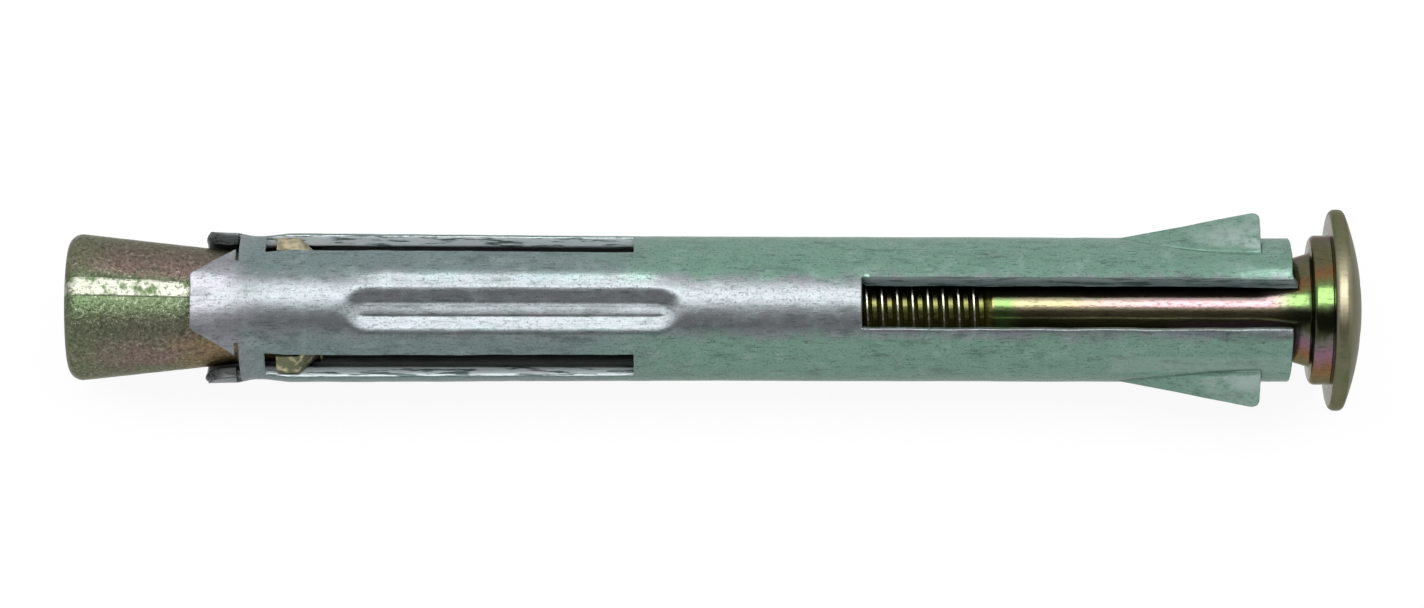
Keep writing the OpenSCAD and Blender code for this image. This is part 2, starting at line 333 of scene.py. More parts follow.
    # fine grain, drag lines, pits and low waves
    pits = f.fade(f.grain(7.0, 2.0, 0.6), 0.6, 0.74)
    height = f.maths("MULTIPLY_ADD", specks, 0.004, f.times(streaks, 0.005))
    height = f.maths("SUBTRACT", height, f.times(pits, 0.004))
    height = f.maths("ADD", height, f.times(f.grain(1.6, 2.0), 0.006))
    return f.done(rough, height)


def makeScrewPlate():
    look = {
        "olive": linear(88, 86, 60),
        "straw": linear(116, 108, 82),
        "rose": linear(124, 100, 108),
        "leaf": linear(86, 110, 62),
        "rust": linear(118, 84, 52),
        "mauve": linear(124, 92, 108),
        "steel": linear(98, 94, 88),
        "satin": linear(90, 96, 66),
        "satinWarm": linear(104, 102, 80),
        "cream": linear(150, 142, 120),
        "gold": linear(112, 112, 58),
        "worn": linear(156, 154, 146),
        # painted dark reflection, below the top of the shank and the collar
        "darkLeaf": linear(50, 54, 34),
        "dark": linear(30, 30, 16),
        "metallic": 0.9,
        "gloss": 0.5,
        "edgeTint": (0.35, 0.34, 0.26),
        "coat": 0.2,
        "coatRough": 0.2,
        "coatIor": 1.5,
        "shadedSide": (10, 16, 40, 70),           # degrees from the top
        "rimHighlightSide": (-14, 4, 24, 42),
        "roseFrom": (-15.0, -8.0),              # millimetres along the axis, none and all
        "mauveFrom": (-9.0, -3.0),
        # the painted shade on the shank runs from here
        "dullFrom": (-3.4, -5.0),
        "bandsFrom": (-4.2, -2.2),
        "headFrom": (-0.02, 0.06),
        "rimR": (5.9, 6.4),                     # millimetres from the axis, none and all
        "grooveR": (2.75, 2.45),
        "crestR": (2.93, 2.965),
    }
    f = Finish("screwPlate", look)
    x, turn, out = f.x, f.turn, f.out
    threadX = -screw["plainLen"]
    slow = f.grain(0.35, 3.0, 0.55, stretch=(0.5, 1, 1))
    # the plating's colours lie along the shank; the dark band below the top is a painted dark reflection
    f.tint = f.ramp(f.filmPlace(slow, 0.12, 0.44), [
        (0.0, "olive"), (0.2, "leaf"), (0.36, "rust"), (0.43, "darkLeaf"), (0.47, "olive"), (0.495, "straw"),
        (0.53, "straw"), (0.6, "olive"), (0.72, "leaf"), (0.84, "rose"), (1.0, "olive")])
    loose = f.maths("MULTIPLY_ADD", slow, 6.0, x)
    # painted highlight tint: rose on the high side towards the head, where the highlight falls
    blush = f.times(f.fade(loose, *look["roseFrom"]), f.fade(turn, radians(-2), radians(6)))
    f.lay("rose", blush, 0.85)
    warm = f.times(f.fade(loose, *look["mauveFrom"]), f.fade(turn, radians(-10), radians(-24)))
    f.lay("mauve", warm, 0.6)
    f.lay("gold", f.fade(x, threadX + 0.1, threadX - 0.3))
    # a green patch where the thread ends, as the plating gathers there
    gathered = f.within(x, threadX - 0.2, threadX + 0.1, threadX + 0.7, threadX + 1.8)
    f.lay("leaf", gathered)
    # painted shade: the shank is darker on its high side, where the slot's high edge shades it
    slotShade = f.times(f.facing(turn, *look["shadedSide"]), f.fade(x, *look["dullFrom"]))
    f.lay("dark", slotShade, 0.8)
    # on the collar and the neck they run round in bands; the dark band just below the top is a painted dark
    # reflection
    ringed = f.grain(0.8, 3.0, 0.5, 0.4, stretch=(2.2, 0.35, 0.35))
    bands = f.ramp(f.filmPlace(ringed, 0.05, 0.475), [
        (0.0, "olive"), (0.2, "straw"), (0.31, "straw"), (0.355, "rust"), (0.395, "mauve"), (0.425, "steel"),
        (0.445, "darkLeaf"), (0.495, "darkLeaf"), (0.515, "leaf"), (0.55, "leaf"), (0.58, "rust"),
        (0.61, "olive"), (0.65, "olive"), (0.69, "steel"), (0.73, "mauve"), (0.85, "olive")])
    f.lay(bands, f.fade(x, *look["bandsFrom"]))
    satin = f.ramp(f.grain(0.3, 2.0, 0.45, 0.3), [(0.36, "satin"), (0.5, "satinWarm"), (0.64, "satin")])
    # painted highlight: the rim is paler on the side where the lamp's highlight falls
    paintedSheen = f.times(f.facing(turn, *look["rimHighlightSide"]), f.fade(out, *look["rimR"]))
    satin = f.blend(f.times(paintedSheen, 0.65), satin, look["cream"])
    onHead = f.fade(x, *look["headFrom"])
    f.lay(satin, onHead)
    # dark between the thread's crests, and the crests worn bright
    inThread = f.fade(x, threadX, threadX - 0.6)
    deep = f.times(f.fade(out, *look["grooveR"]), inThread)
    f.lay("dark", deep, 0.45)
    crest = f.times(f.fade(out, *look["crestR"]), inThread)
    f.lay("worn", crest, 0.8)
    specks = f.grain(6.0, 3.0, 0.6, stretch=(0.3, 1, 1))
    spotted = f.maths("MULTIPLY_ADD", onHead, -0.35, 0.6)
    f.lay("dark", f.times(f.fade(specks, 0.5, 0.72), spotted))
    rough = f.maths("MULTIPLY_ADD", f.grain(2.5), 0.12, 0.1)
    rough = f.maths("MULTIPLY_ADD", onHead, 0.24, rough)
    rough = f.maths("MULTIPLY_ADD", inThread, 0.1, rough)
    waves = f.times(f.grain(1.8), 0.006)
    return f.done(rough, f.maths("MULTIPLY_ADD", specks, 0.003, waves))


def makeNutPlate():
    look = {
        "olive": linear(96, 96, 78),
        "brown": linear(102, 90, 82),
        "rose": linear(114, 94, 88),
        "gold": linear(124, 102, 60),
        "leaf": linear(90, 104, 72),
        "greenTop": linear(78, 98, 64),
        "pale": linear(164, 166, 152),
        "lug": linear(150, 142, 110),
        "lugPale": linear(214, 200, 170),
        "dark": linear(40, 46, 32),
        "metallic": 0.88,
        "gloss": 0.5,
        "edgeTint": (0.4, 0.38, 0.32),
        "coat": 0.3,
        "coatRough": 0.22,
        "coatIor": 1.5,
        "greenSide": (-16, 2, 22, 34),          # degrees from the top
        "highlightStrip": (9, 11, 22, 26),
        "leafFrom": (-75.0, -80.0),             # millimetres along the axis, none and all
        "goldFrom": (-73.5, -71.0),
    }
    f = Finish("nutPlate", look)
    x, turn = f.x, f.turn
    lugX = nodeSpan("cone_nut")[0] + nut["lugStart"]
    stir = f.grain(0.45, 4.0, 0.65, 0.3)
    f.tint = f.ramp(f.filmPlace(stir, 0.22, 0.39), [
        (0.0, "olive"), (0.14, "rose"), (0.25, "leaf"), (0.31, "olive"), (0.37, "rose"), (0.43, "olive"),
        (0.56, "olive"), (0.6, "rose"), (0.66, "brown"), (0.75, "olive"), (0.88, "leaf"), (1.0, "olive")])
    # greener towards its far end, and golden low down beside the tongues
    loose = f.maths("MULTIPLY_ADD", f.grain(0.5, 3.0, 0.6), 6.0, x)
    f.lay("leaf", f.fade(loose, *look["leafFrom"]), 0.65)
    low = f.times(f.fade(turn, radians(-22), radians(-40)), f.fade(loose, *look["goldFrom"]))
    f.lay("gold", low, 0.7)
    # green along the top, with a painted highlight strip beside the parting line
    f.lay("greenTop", f.facing(turn, *look["greenSide"]), 0.75)
    patchy = f.fade(f.grain(1.4, 3.0, 0.6), 0.36, 0.54)
    f.lay("pale", f.times(f.facing(turn, *look["highlightStrip"]), patchy))
    specks = f.grain(4.2, 4.0, 0.75)
    f.lay("dark", f.fade(specks, 0.5, 0.64), 0.7)
    f.lay("pale", f.fade(specks, 0.46, 0.36), 0.42)
    # painted highlight: the lug on the high side is pale cream, the low one olive with pale glints
    litLug = f.ramp(f.grain(0.7, 2.0, 0.5, 0.3), [
        (0.34, "leaf"), (0.44, "lug"), (0.56, "lugPale"), (0.68, "lug")])
    lowLug = f.ramp(f.grain(1.2, 2.0, 0.5, 0.4), [(0.38, "olive"), (0.5, "leaf"), (0.64, "lugPale")])
    bright = f.blend(f.fade(turn, -0.2, 0.2), lowLug, litLug)
    f.lay(bright, f.fade(x, lugX - 0.37, lugX - 0.07), 0.85)
    return f.done(f.maths("MULTIPLY_ADD", specks, 0.3, 0.16), f.times(specks, 0.062))


tipX, headX = nodeSpan("sleeve")

sleeve = {
    "r": 4.75,
    "sheet": 0.78,
    "turn": 5.5,              # the punched slots are turned this far from the bead
    "seamHalf": 2.11,
    "headNarrow": 0.03,
    "slotLen": 28.2,
    "slotHalf": 20.97,
    "slotLeans": (-0.1, 0.34),    # the long slot narrows inside, on its low and its high side
    "mouthPress": 0.24,       # its edges are pressed in this far where the head bears
    "finTip": 2.0,
    "finLen": 9.3,
    "finReach": 6.52,
    "finHeight": 0.9,
    "foldTip": 54.0,
    "foldRoot": 81.0,
    "finCorner": 0.5,
    "creaseDepth": 0.06,      # the line that the folding tool leaves
    "creaseWide": 0.12,
    "pressAt": 51.0,          # and the flat beside the low fin
    "pressHalf": 0.85,
    "pressDepth": 0.085,
    "legRoot": 43.1,
    "legLen": 24.1,
    "legR": 4.9,
    "legSlotHalf": 14.25,
    "bandW": 1.7,
    "bandR": 4.72,
    "nickW": 0.22,
    "neckHalf": 34.0,
    "footR": 4.93,
    "tongueTipR": 5.01,
    "tongueTipHalf": 20.5,
    "tongueShort": 0.7,       # the two at the back are shorter
    "tongueLift": 0.31,       # the front one is pried out on its low side
    "beadRoot": 40.5,
    "beadLen": 21.0,
    "beadHalf": 0.95,
    "beadDeepAt": 0.12,       # its deepest line is off its middle
    "beadHigh": 1.32,         # from there to its high edge
    "beadLow": 1.65,          # to its low edge
    "beadEnd": 1.5,           # and past its ends
    "beadDepth": 0.39,
    "beadFloor": 0.44,        # the share of its low side that is floor
    "beadLean": 0.14,         # how much of the depth the floor loses
    "beadLine": 0.06,         # the fine line at the floor's foot
    "beadLip": 0.04,
    "shoulderAt": 2.6,        # pressing the bead lifts the sheet beside it
    "shoulder": 0.17,
    "rollOver": 0.1,          # the punch rounds the outer edge this far
}

slotEndX = headX - sleeve["slotLen"]
finTipX = headX - sleeve["finTip"]
finRootX = finTipX - sleeve["finLen"]
legRootX = headX - sleeve["legRoot"]
legEndX = legRootX - sleeve["legLen"]
bandEndX = legEndX - sleeve["bandW"]
nickX = bandEndX - sleeve["nickW"]
shortTipX = tipX + sleeve["tongueShort"]
beadNear = headX - sleeve["beadRoot"] - sleeve["beadHalf"]
beadFar = headX - sleeve["beadRoot"] - sleeve["beadLen"] + sleeve["beadHalf"]
perDegree = radians(sleeve["r"])               # millimetres of sheet to a degree

seamAt = sleeve["turn"] + 180
seamHigh, seamLow = seamAt - sleeve["seamHalf"], seamAt - 360 + sleeve["seamHalf"]
slotHigh, slotLow = sleeve["turn"] + sleeve["slotHalf"], sleeve["turn"] - sleeve["slotHalf"]
legCentres = [sleeve["turn"] + k * 120 for k in (0, 1, -1)]
legHalf = 60 - sleeve["legSlotHalf"]

foldWide = hypot(sleeve["finReach"] - sleeve["r"] * sin(radians(sleeve["foldTip"])),
                 sleeve["finHeight"] - sleeve["r"] * cos(radians(sleeve["foldTip"])))
openAngle = degrees(foldWide / (sleeve["r"] - sleeve["sheet"] / 2))
windowFar = sleeve["foldTip"] + openAngle      # the window's far edge, at the fin's tip


def wallRadius(x):
    s = sleeve
    return along([
        (tipX, s["tongueTipR"]),
        (nickX, s["footR"]),
        (bandEndX + 0.7, s["bandR"]),
        (legEndX - 0.2, s["bandR"]),
        (legEndX + 1.5, s["legR"]),
        (legRootX + 2.0, s["r"] + 0.005),
        (legRootX + 5.0, s["r"]),
        (finRootX - 4.5, s["r"]),
        (headX, s["r"] - s["headNarrow"]),
    ], x)


def beadSink(x, arc):
    # how deep the bead is pressed: a steep wall on its high side, a floor and a long wall on its low side
    s = sleeve
    past = max(beadFar - x, x - beadNear, 0.0)
    high = arc - s["beadDeepAt"]
    reach = s["beadHigh"] if high > 0 else s["beadLow"]
    out = hypot(past / s["beadEnd"], high / reach)
    steep = lerp(clamp(1.3 - 1.3 * out), ease(1.15 - 1.15 * out), 0.6)
    # the low side is a floor that leans a little, a fine line at its foot, then the wall
    wall = clamp((out - s["beadFloor"]) / (1 - s["beadFloor"]))
    long = 1 - s["beadLean"] * min(out / s["beadFloor"], 1.0) - (1 - s["beadLean"]) * wall ** 1.2
    long += s["beadLine"] * exp(-((out - s["beadFloor"] + 0.02) / 0.05) ** 2) * ease(-high / 0.4)
    share = clamp(ease(0.5 + high / 0.3) + ease(past / 0.7))
    pressed = lerp(clamp(long), steep, share) * s["beadDepth"]
    lip = s["beadLip"] * exp(-((out - 1.06) / 0.14) ** 2) * ease(-high)
    run = ease((x - beadFar + 2.2) / 4) * ease((beadNear + 2.0 - x) / 4)
    lift = s["shoulder"] * run * exp(-((arc - s["shoulderAt"]) / 0.65) ** 2)
    return pressed - lip - lift


def tongueSink(x, angle):
    # the front tongue is pried out a little further on its low side
    out = ease((bandEndX + 0.2 - x) / 2.4)
    lift = sleeve["tongueLift"] * clamp((11 - angle) / 34) + 0.1 * clamp((angle - 11) / 11, 0, 1.4) ** 2
    return -lift * out if abs(angle) < 60 else 0.0


def mouthSink(x, angle):
    # the slot's edges are pressed in a little where the head bears
    edge = min(abs(angle - slotHigh), abs(angle - slotLow) + 4) * perDegree
    return sleeve["mouthPress"] * ease((x - headX + 7.5) / 7.0) * exp(-(edge / 0.75) ** 2)


def handled(x, angle):
    # the low waves and small knocks that punching and rolling leave
    a = radians(angle)
    y, z = cos(a) * sleeve["r"], sin(a) * sleeve["r"]
    waves = 0.022 * wobble(x * 0.5, y, z, 2.6) + 0.008 * wobble(x, y + 40, z, 0.9)
    grained = 0.0022 * wobble(x * 0.7, y, z + 15, 0.22)
    legs = 0.02 * wobble(x, y, z + 70, 1.7) * ease((legRootX + 6 - x) / 5)
    return waves + grained + legs


def pressMark(x, angle):
    # the flat that the fin's tool leaves beside the fin on the low side, round at one end
    s = sleeve
    arc = (angle + s["pressAt"]) * perDegree
    away = max(hypot(min(x - finRootX - 0.1, 0.0), arc), abs(arc)) - s["pressHalf"]
    return s["pressDepth"] * ease(0.5 - away / 0.13) * ease((finTipX - 1.5 - x) / 4)


def creaseSink(x, away):
    # the folding tool leaves a line along the fin's fold
    s = sleeve
    out = clamp((x - finRootX) / s["finLen"])
    run = ease(out / 0.3) * ease((finTipX + 0.05 - x) / 0.05)
    return s["creaseDepth"] * exp(-(away / s["creaseWide"]) ** 2) * run


def onWall(x, arc, depth):
    angle = arc / perDegree
    if finRootX < x < finTipX + 0.01:
        away = (foldAngle(x, 1 if arc > 0 else -1) - abs(angle)) * perDegree
        depth += creaseSink(x, away) if away > -0.01 else 0.0
    sink = beadSink(x, arc) + pressMark(x, angle) + tongueSink(x, angle) + mouthSink(x, angle)
    r = wallRadius(x) - sink + handled(x, angle) - depth
    return Vector((x, r * sin(radians(angle)), r * cos(radians(angle))))


def foldAngle(x, side):
    # the fold swings in quickly from the root, further on the high side
    s = sleeve
    out = clamp((x - finRootX) / s["finLen"])
    tip, swing = (s["foldTip"] - 1.5, 2.6) if side > 0 else (s["foldTip"] + 4, 1.9)
    return lerp(s["foldRoot"], tip, 1 - (1 - out) ** swing)


def windowAngle(x):
    return lerp(sleeve["foldRoot"], windowFar, clamp((x - finRootX) / sleeve["finLen"]))


def onFin(x, arc, depth):
    # the flap turns out about its fold and bows a little
    s = sleeve
    side = 1 if arc > 0 else -1
    out = clamp((x - finRootX) / s["finLen"])
    fold, far = foldAngle(x, side), windowAngle(x)
    share = clamp((abs(arc) / perDegree - fold) / max(far - fold, 1e-6))
    foot = onWall(x, side * fold * perDegree, 0)
    root = onWall(finRootX, side * s["foldRoot"] * perDegree, 0)
    corner = Vector((finTipX, side * s["finReach"], s["finHeight"]))
    edge = root.lerp(corner, out)
    across = edge - foot
    normal = (corner - root).cross(onWall(finTipX, side * s["foldTip"] * perDegree, 0) - root) * side
    normal.normalize()
    bow = 0.1 * out * 4 * share * (1 - share)
    bow += 0.012 * out * wobble(x, arc, 9 * side, 0.8)
    bow -= creaseSink(x, across.length * share) * ease(share / 0.03) if share > 0 else 0.0
    if normal.z < 0:
        normal.negate()
    return foot + across * share + normal * (bow - depth)


# The sheet is laid out flat first: x along the sleeve, arc round it, as the blank is punched.

class Blank:
    def __init__(self):
        self.points, self.onFlap, self.find, self.faces = [], [], {}, []

    def point(self, x, arc, flap):
        key = (round(x, 4), round(arc, 4), flap)
        if key not in self.find:
            self.find[key] = len(self.points)
            self.points.append((x, arc))
            self.onFlap.append(flap)
        return self.find[key]

    def share(self, x, arc, flapSide):
        # the fold's points belong to the wall and the flap alike
        self.find[(round(x, 4), round(arc, 4), flapSide)] = self.point(x, arc, 0)

    def block(self, rows, columns, place, flap=0):
        grid = [[self.point(*place(row, column), flap) for column in columns] for row in rows]
        for low, high in zip(grid, grid[1:]):
            for k in range(len(columns) - 1):
                corners = [low[k], low[k + 1], high[k + 1], high[k]]
                corners = [c for n, c in enumerate(corners) if c != corners[n - 1]]
                if len(set(corners)) > 2:
                    self.faces.append(corners)


def columnStep(angle):
    return 0.85 if abs(angle) < 17 else 3.4


def rowStep(x):
    if abs(x - beadNear) < 1.3 or abs(x - beadFar) < 1.3:
        return 0.13
    return 0.11 if abs(x - finRootX + 0.5) < 0.7 else 0.3


def tongueBulge(k, run):
    # the front tongue is cut a little hollow, the two at the back are full
    return (-2.0 if k == 0 else 7.0) * sin(pi * run)


def straight(x, angle):
    return x, angle * perDegree


def layOutBlank():
    s = sleeve
    blank = Blank()
    necks = [(c - s["neckHalf"], c + s["neckHalf"]) for c in legCentres]
    legs = [(c - legHalf, c + legHalf) for c in legCentres]
    marks = [seamLow, seamHigh, slotLow, slotHigh, -s["foldRoot"], s["foldRoot"]]
    marks += [end for pair in necks + legs for end in pair if seamLow < end < seamHigh]
    marks = [m for m in sorted(marks) if not 0 < abs(m + s["foldRoot"]) < 0.8]
    pressHalf = s["pressHalf"] / perDegree
    pressed = [side * (pressHalf + d) - s["pressAt"] for side in (-1, 1) for d in (-1, 0, 1)]
    marks = sorted([m for m in marks if min(abs(m - p) for p in pressed) > 0.5] + pressed)
    folds = [side * (s["foldRoot"] - back) for side in (-1, 1) for back in (0.8, 1.7, 3.0)]
    marks = sorted([m for m in marks if min(abs(m - f) for f in folds) > 0.5] + folds)
    necks = [tuple(min(marks, key=lambda m: abs(m - e)) for e in pair) for pair in necks]
    columns = steps(marks, columnStep)

    def between(low, high):
        return [c for c in columns if low - 1e-6 <= c <= high + 1e-6]

    def rows(a, b):
        fine = (beadNear, beadFar, finRootX - 1.2)
        marked = [m for m in fine if min(a, b) < m < max(a, b)]
        return steps(sorted([a, b] + marked), rowStep)

    # band, legs, plain body and the two walls beside the long slot
    blank.block(rows(bandEndX, legEndX), columns, straight)
    for low, high in legs:
        blank.block(rows(legEndX, legRootX), between(low, high), straight)
    blank.block(rows(legRootX, slotEndX), columns, straight)
    for low, high in ((seamLow, slotLow), (slotHigh, seamHigh)):
        blank.block(rows(slotEndX, finRootX), between(low, high), straight)

    # either side of a fin's window, the flap in it, and the ring at the head's end
    windowRows, ringRows = rows(finRootX, finTipX), rows(finTipX, headX)
    for side, slotEdge, seamEdge in ((1, slotHigh, seamHigh), (-1, slotLow, seamLow)):
        root = side * s["foldRoot"]

        def nearFold(x, angle):
            share = (angle - slotEdge) / (root - slotEdge)
            return x, lerp(slotEdge, side * foldAngle(x, side), share) * perDegree

        def pastWindow(x, angle):
            return x, lerp(side * windowAngle(x), seamEdge, (angle - root) / (seamEdge - root)) * perDegree

        def acrossFlap(x, share):
            return x, side * lerp(foldAngle(x, side), windowAngle(x), share) * perDegree

        near = between(*sorted((slotEdge, root)))
        far = between(*sorted((root, seamEdge)))
        shares = [0, 0.025, 0.05, 0.08, 0.13, 0.19] + [k / 12 for k in range(3, 12)] + [0.96, 1]
        blank.block(windowRows, near, nearFold)
        blank.block(windowRows, far, pastWindow)
        for x in windowRows:
            blank.share(x, side * foldAngle(x, side) * perDegree, side)
        blank.block(windowRows, shares, acrossFlap, side)
        ring = [nearFold(finTipX, a)[1] / perDegree for a in near]
        ring += [acrossFlap(finTipX, share)[1] / perDegree for share in shares]
        ring += [pastWindow(finTipX, a)[1] / perDegree for a in far]
        blank.block(ringRows, sorted({round(a, 7) for a in ring}), straight)

    # tongues: a neck between its nicks, then the tongue with its ears, narrowing to the tip
    for k, (centre, (low, high)) in enumerate(zip(legCentres, necks)):
        end = tipX if k == 0 else shortTipX
        neck = between(low, high)
        blank.block([bandEndX, nickX], neck, straight)
        ears = [centre - legHalf, centre - legHalf + 2, centre - legHalf + 6]
        wide = ears + neck + [2 * centre - e for e in reversed(ears)]

        def narrowing(x, angle):
            if x > nickX - 1e-6:
                return straight(x, angle)
            run = clamp((nickX - x) / (nickX - tipX))
            half = lerp(legHalf, s["tongueTipHalf"], run) + tongueBulge(k, run)
            return x, (centre + (angle - centre) * half / legHalf) * perDegree

        blank.block(steps([nickX, end + 0.3, end], lambda x: 0.22), wide, narrowing)
    return blank


def roundCorner(points, chosen, corner, toA, toB, r):
    # squeezes the corner of a sheet outline into an arc of about radius r
    a, b = Vector(toA).normalized(), Vector(toB).normalized()
    det = a.x * b.y - a.y * b.x
    for k in chosen:
        d = Vector(points[k]) - Vector(corner)
        u = (d.x * b.y - d.y * b.x) / det
        v = (a.x * d.y - a.y * d.x) / det
        if -1e-6 <= u < r and -1e-6 <= v < r:
            p, q = 1 - max(u, 0) / r, 1 - max(v, 0) / r
            newU = r * (1 - p * sqrt(1 - q * q / 2))
            newV = r * (1 - q * sqrt(1 - p * p / 2))
            moved = Vector(corner) + a * newU + b * newV
            points[k] = (moved.x, moved.y)


def edgeWaver(x, arc):
    # the punched edges run a little out of true
    return 0.05 * wobble(x, arc * 0.3, 13.0, 2.4) + 0.02 * wobble(x, arc, 7.0, 0.7)


def buildSleeve():
    blank = layOutBlank()
    s = sleeve
    points, flap = blank.points, blank.onFlap

    for side in (1, -1):
        corner = (finTipX, side * windowFar * perDegree)
        toRoot = (finRootX - finTipX, side * (s["foldRoot"] - windowFar) * perDegree)
        chosen = [k for k in range(len(points)) if flap[k] == side]
        roundCorner(points, chosen, corner, (0, -side), toRoot, s["finCorner"] * 1.3)
    for k, (centre, end, r) in enumerate(zip(legCentres, (tipX, shortTipX, shortTipX), (0.12, 1.0, 1.0))):
        run = (nickX - end) / (nickX - tipX)
        half = lerp(legHalf, s["tongueTipHalf"], run) + tongueBulge(k, run)
        for side in (1, -1):
            corner = (end, (centre + side * half) * perDegree)
            back = (nickX - end, side * (legHalf - half) * perDegree)
            chosen = [k for k in range(len(points)) if points[k][0] < nickX and not flap[k]]
            roundCorner(points, chosen, corner, (0, -side), back, r)

    # rim: each open edge with the way into the sheet at each of its points
    edgeFaces = {}
    for face in blank.faces:
        p = [points[k] for k in face]
        turning = sum(a[0] * b[1] - b[0] * a[1] for a, b in zip(p, p[1:] + p[:1]))
        for a, b in zip(face, face[1:] + face[:1]):
            edgeFaces.setdefault(frozenset((a, b)), []).append((a, b, turning))
    rim = [uses[0] for uses in edgeFaces.values() if len(uses) == 1]
    inwards = {}
    for a, b, turning in rim:
        d = Vector(points[b]) - Vector(points[a])
        if d.length < 1e-9:
            continue
        d.normalize()
        way = Vector((-d.y, d.x)) * (1 if turning > 0 else -1)
        for k in (a, b):
            inwards.setdefault(k, []).append(way)
    into = {}
    for k, ways in inwards.items():
        total = sum(ways, Vector((0, 0)))
        clear = len(ways) == 2 and total.length >= 0.3
        into[k] = total.normalized() * min(1.5, 2 / total.length) if clear else Vector((0, 0))

    # each row of an open edge: how deep it lies in the sheet, and how far in it is rounded
    t = s["sheet"]
    profile = [(0.0, s["rollOver"]), (0.012, 0.055), (0.045, 0.018), (0.11, 0.0), (0.3, 0.0),
               (0.5, 0.012), (0.66, 0.03), (0.745, 0.035), (t, 0.07)]
    # the short tongues are worn round at their ends
    roundTip = [(0.0, 0.4), (0.05, 0.22), (0.14, 0.09), (0.27, 0.0), (0.42, 0.0),
                (0.56, 0.05), (0.68, 0.14), (0.75, 0.22), (t, 0.3)]

    def place(k, row):
        x, arc = points[k]
        depth, inset = profile[row]
        if k in into:
            if x < shortTipX + 0.4 and abs(arc / perDegree) > 70:
                depth, inset = roundTip[row]
            inSlot = x > slotEndX + 0.01 and abs(arc / perDegree - s["turn"]) < 25
            high = arc / perDegree > s["turn"]
            lean = s["slotLeans"][high] * depth / t if inSlot else 0.0
            if inSlot and high:
                inset = min(inset, 0.015)      # the side the punch leans from stays crisp
            rough = 0.02 * wobble(x * 0.6, arc, depth * 6, 0.35) * ease(depth / 0.3)
            move = into[k] * (inset - lean + rough + edgeWaver(x, arc))
            x, arc = x + move.x, arc + move.y
        spot = onFin(x, arc, depth) if flap[k] else onWall(x, arc, depth)
        return spot * mm

    bm = bmesh.new()
    outside = [bm.verts.new(place(k, 0)) for k in range(len(points))]
    inside = [bm.verts.new(place(k, len(profile) - 1)) for k in range(len(points))]
    ladders = {}
    for k in into:
        middle = [bm.verts.new(place(k, row)) for row in range(1, len(profile) - 1)]
        ladders[k] = [outside[k]] + middle + [inside[k]]
    for face in blank.faces:
        bm.faces.new([outside[k] for k in face])
        bm.faces.new([inside[k] for k in reversed(face)])
    for a, b, _ in rim:
        if a not in ladders or b not in ladders:
            continue
        for n in range(len(profile) - 1):
            face = bm.faces.new([ladders[a][n], ladders[b][n], ladders[b][n + 1], ladders[a][n + 1]])
            face.material_index = 1 if n > 1 else 0      # sheared metal below the rolled edge
    bmesh.ops.remove_doubles(bm, verts=bm.verts, dist=1e-7)
    bmesh.ops.recalc_face_normals(bm, faces=bm.faces)
    sharpen(bm, 50)
    print("sleeve mesh:", len(bm.faces), "faces,", openEdges(bm), "open edges")
    piece = meshPiece("rolledSleeve", bm, [sheetZinc, cutZinc])
    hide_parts("sleeve")
    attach(piece, "sleeve")


sheetZinc = makeSheetZinc("sheetZinc")
cutZinc = makeSheetZinc("cutZinc", cutFace=True)
buildSleeve()
print("sleeve built")


thread = {
    "pitch": 1.0,
    "crestR": 2.98,
    "rootR": 2.42,
    "crestHalf": 0.045,       # shares of a turn: half the crest's flat, and one flank
    "flank": 0.32,
    "phase": 0.38,
    "rows": (0.0, 0.05, 0.2, 0.36, 0.5, 0.64, 0.8, 0.95),   # places of the rings in one turn, crest first
}


def threadRadius(turns):
    # turns count along the axis from a crest
    away = abs((turns + 0.5) % 1.0 - 0.5)
    share = clamp((away - thread["crestHalf"]) / thread["flank"])
    return lerp(thread["crestR"], thread["rootR"], share)


def threadTurns(x, angle):
    return x / thread["pitch"] - thread["phase"] - angle / 360


def ringPoint(bm, x, r, angle):
    return bm.verts.new((x * mm, r * cos(radians(angle)) * mm, r * sin(radians(angle)) * mm))


def threadRings(low, high, angles, radiusAt, bm):
    # rings that climb with the thread between two places on the axis. Angles rise from Y towards Z.
    first = int(low / thread["pitch"] - thread["phase"]) - 3
    last = int(high / thread["pitch"] - thread["phase"]) + 2
    lines = [turn + part for turn in range(first, last + 1) for part in thread["rows"]]
    perTurn = len(thread["rows"])
    grid = []
    for line in lines:
        ring = []
        for angle in angles:
            x = clamp((line + thread["phase"] + angle / 360) * thread["pitch"], low, high)
            ring.append(ringPoint(bm, x, radiusAt(x, angle), angle))
        grid.append(ring)
    for i in range(len(lines) - 1 - perTurn):
        for j in range(len(angles)):
            a, b = grid[i][j], grid[i + 1][j]
            if j + 1 < len(angles):
                c, d = grid[i + 1][j + 1], grid[i][j + 1]
            else:
                c, d = grid[i + 1 + perTurn][0], grid[i + perTurn][0]
            if len({tuple(round(v, 8) for v in p.co) for p in (a, b, c, d)}) > 2:
                bm.faces.new((a, b, c, d))


def lathe(profile, angles, bm, shape=lambda x, r, angle: r):
    # turns a line of (x, radius) points about the axis
    grid = []
    for x, r in profile:
        if r < 1e-9:
            grid.append([bm.verts.new((x * mm, 0, 0))])
            continue
        grid.append([ringPoint(bm, x, shape(x, r, angle), angle) for angle in angles])
    for low, high in zip(grid, grid[1:]):
        for j in range(len(angles)):
            k = (j + 1) % len(angles)
            if len(low) == 1:
                bm.faces.new((low[0], high[j], high[k]))
            elif len(high) == 1:
                bm.faces.new((low[j], high[0], low[k]))
            else:
                bm.faces.new((low[j], high[j], high[k], low[k]))


def arc(centre, r, start, end, count):
    # points (x, radius) on a circle, angles from the axis
    turns = [radians(lerp(start, end, k / count)) for k in range(count + 1)]
    return [(centre[0] + r * cos(t), centre[1] + r * sin(t)) for t in turns]


